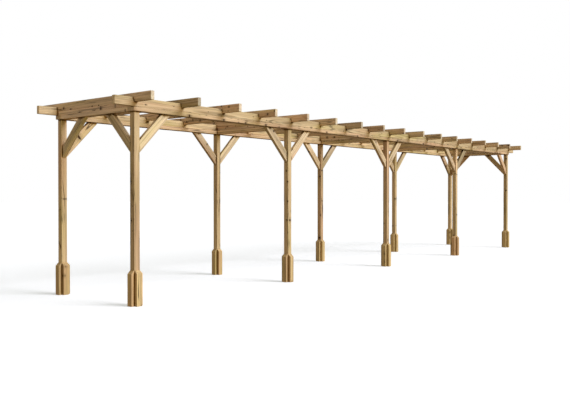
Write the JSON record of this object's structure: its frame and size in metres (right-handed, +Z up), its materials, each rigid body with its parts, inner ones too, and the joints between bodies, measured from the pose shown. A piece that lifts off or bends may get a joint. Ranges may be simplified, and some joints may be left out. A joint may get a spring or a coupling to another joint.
{
  "type": "wooden garden pergola",
  "caption": "Long walk-through timber pergola: two rows of square posts with boarded feet and diagonal braces carry flat plates, notched side beams and cross rafters.",
  "frame": {"origin": "centre of the footprint at ground level", "axes": "+X along the rows of posts, +Y across from the front row to the back row, +Z up"},
  "size_m": [10.6, 1.93, 2.18],
  "materials": {
    "post_timber": "planed, pressure-treated softwood",
    "foot_timber": "planed, pressure-treated softwood",
    "brace_timber": "planed, pressure-treated softwood",
    "plate_timber": "planed, pressure-treated softwood",
    "beam_timber": "planed, pressure-treated softwood",
    "rafter_timber": "planed, pressure-treated softwood"
  },
  "bodies": {
    "root": {"front_post_1": "post_timber", "front_foot_boards_1": "foot_timber", "front_post_2": "post_timber", "front_foot_boards_2": "foot_timber", "front_post_3": "post_timber", "front_foot_boards_3": "foot_timber", "front_post_4": "post_timber", "front_foot_boards_4": "foot_timber", "front_post_5": "post_timber", "front_foot_boards_5": "foot_timber", "front_braces_bay_1": "brace_timber", "front_braces_bay_2": "brace_timber", "front_braces_bay_3": "brace_timber", "front_braces_bay_4": "brace_timber", "front_plate": "plate_timber", "front_beam": "beam_timber", "back_post_1": "post_timber", "back_foot_boards_1": "foot_timber", "back_post_2": "post_timber", "back_foot_boards_2": "foot_timber", "back_post_3": "post_timber", "back_foot_boards_3": "foot_timber", "back_post_4": "post_timber", "back_foot_boards_4": "foot_timber", "back_post_5": "post_timber", "back_foot_boards_5": "foot_timber", "back_braces_bay_1": "brace_timber", "back_braces_bay_2": "brace_timber", "back_braces_bay_3": "brace_timber", "back_braces_bay_4": "brace_timber", "back_plate": "plate_timber", "back_beam": "beam_timber", "left_end_braces": "brace_timber", "right_end_braces": "brace_timber", "cross_plate_1": "plate_timber", "cross_plate_2": "plate_timber", "cross_plate_3": "plate_timber", "cross_plate_4": "plate_timber", "cross_plate_5": "plate_timber", "rafter_packers": "beam_timber", "rafters_bay_1": "rafter_timber", "rafters_bay_2": "rafter_timber", "rafters_bay_3": "rafter_timber", "rafters_bay_4": "rafter_timber"}
  },
  "joints": []
}
